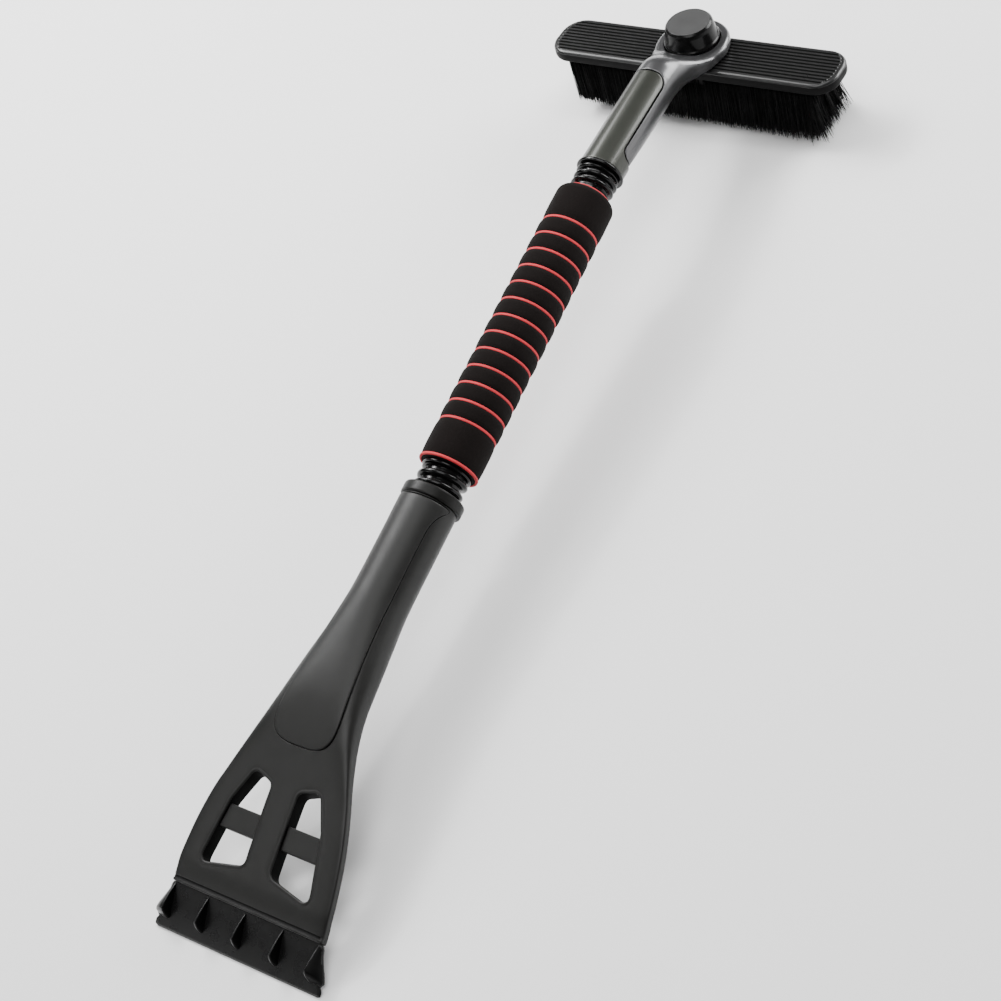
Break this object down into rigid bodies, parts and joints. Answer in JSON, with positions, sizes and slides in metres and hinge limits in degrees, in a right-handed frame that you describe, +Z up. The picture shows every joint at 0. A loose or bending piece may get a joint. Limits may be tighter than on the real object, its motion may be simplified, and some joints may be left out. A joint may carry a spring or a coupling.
{
  "type": "windshield ice scraper",
  "caption": "Hand-held windshield ice scraper: toothed scraping blade on a screw-in handle, striped foam grip, and a swivelling snow brush with a push-button lock at the other end.",
  "frame": {"origin": "under the middle of the tool, on the surface it lies on, scraping edge and bristle tips down", "axes": "+X along the tool from the scraper to the brush, +Y across it, +Z up"},
  "size_m": [0.6576, 0.206, 0.0852],
  "materials": {
    "black_plastic": "satin black moulded plastic",
    "gloss_black": "glossy black plastic",
    "blade_plastic": "satin black hard plastic",
    "foam": "matt black closed-cell EVA foam",
    "stripe_red": "matt red foam",
    "arm_grey": "satin grey metallic paint",
    "inlay_grey": "satin dark olive-grey paint",
    "button_grey": "grey plastic with a glossy dark side",
    "bristle": "black nylon bristles",
    "aluminium": "drawn tube",
    "steel": "zinc-plated steel"
  },
  "bodies": {
    "handle": {"pole_tube": "aluminium", "lower_plug_pin": "steel", "upper_plug_pin": "steel", "lower_thread_plug": "gloss_black", "upper_thread_plug": "gloss_black", "foam_grip": "foam", "grip_stripe_01": "stripe_red", "grip_stripe_02": "stripe_red", "grip_stripe_03": "stripe_red", "grip_stripe_04": "stripe_red", "grip_stripe_05": "stripe_red", "grip_stripe_06": "stripe_red", "grip_stripe_07": "stripe_red", "grip_stripe_08": "stripe_red", "grip_stripe_09": "stripe_red", "grip_stripe_10": "stripe_red", "grip_stripe_11": "stripe_red", "grip_stripe_12": "stripe_red", "grip_stripe_13": "stripe_red", "grip_end_ring_lower": "stripe_red", "grip_end_ring_upper": "stripe_red"},
    "lower_ring": {"socket_collar": "black_plastic"},
    "scraper": {"scraper_body": "black_plastic", "scraper_tongue": "black_plastic", "scraper_blade": "blade_plastic", "tongue_screw": "steel", "blade_screw_1": "steel", "blade_screw_2": "steel", "blade_screw_3": "steel"},
    "upper_ring": {"arm_seal_ring": "gloss_black"},
    "brush_arm": {"arm_shell": "arm_grey", "arm_sleeve": "inlay_grey", "sleeve_screw_1": "steel", "sleeve_screw_2": "steel", "pivot_retainer": "steel", "button_spring": "steel"},
    "button": {"lock_button": "button_grey", "lock_gear": "steel"},
    "brush_head": {"swivel_hub": "black_plastic", "pivot_screw": "steel", "brush_plate": "black_plastic", "bristle_block": "black_plastic", "block_screw_1": "steel", "block_screw_2": "steel", "block_screw_3": "steel", "block_screw_4": "steel", "bristle_row_1": "bristle", "bristle_row_2": "bristle", "bristle_row_3": "bristle", "bristle_row_4": "bristle", "bristle_row_5": "bristle"}
  },
  "joints": [
    {"name": "scraper_thread_advance", "type": "slide", "parent": "handle", "child": "lower_ring", "axis": [-0.9977, 0, -0.068], "range_m": [0, 0.0131]},
    {"name": "scraper_unscrew", "type": "hinge", "parent": "lower_ring", "child": "scraper", "pos_m": [-0.05212, 0, 0.05223], "axis": [-0.9977, 0, -0.068], "range_deg": [0, 720]},
    {"name": "arm_thread_advance", "type": "slide", "parent": "handle", "child": "upper_ring", "axis": [0.9977, 0, 0.068], "range_m": [0, 0.0097]},
    {"name": "arm_unscrew", "type": "hinge", "parent": "upper_ring", "child": "brush_arm", "pos_m": [0.18044, 0, 0.06807], "axis": [0.9977, 0, 0.068], "range_deg": [0, 720]},
    {"name": "button_press", "type": "slide", "parent": "brush_arm", "child": "button", "axis": [-0.1651, 0, -0.9863], "range_m": [0, 0.004], "stiffness_N_per_m": 800, "springref_m": -0.002, "deforming": ["button_spring"]},
    {"name": "brush_swivel", "type": "hinge", "parent": "brush_arm", "child": "brush_head", "pos_m": [0.30552, 0, 0.05194], "axis": [0.1651, 0, 0.9863], "continuous": true}
  ],
  "couplings": [
    {"joint": "scraper_thread_advance", "follows": "scraper_unscrew", "m_per_rad": 0.0010345},
    {"joint": "arm_thread_advance", "follows": "arm_unscrew", "m_per_rad": 0.00076394}
  ]
}
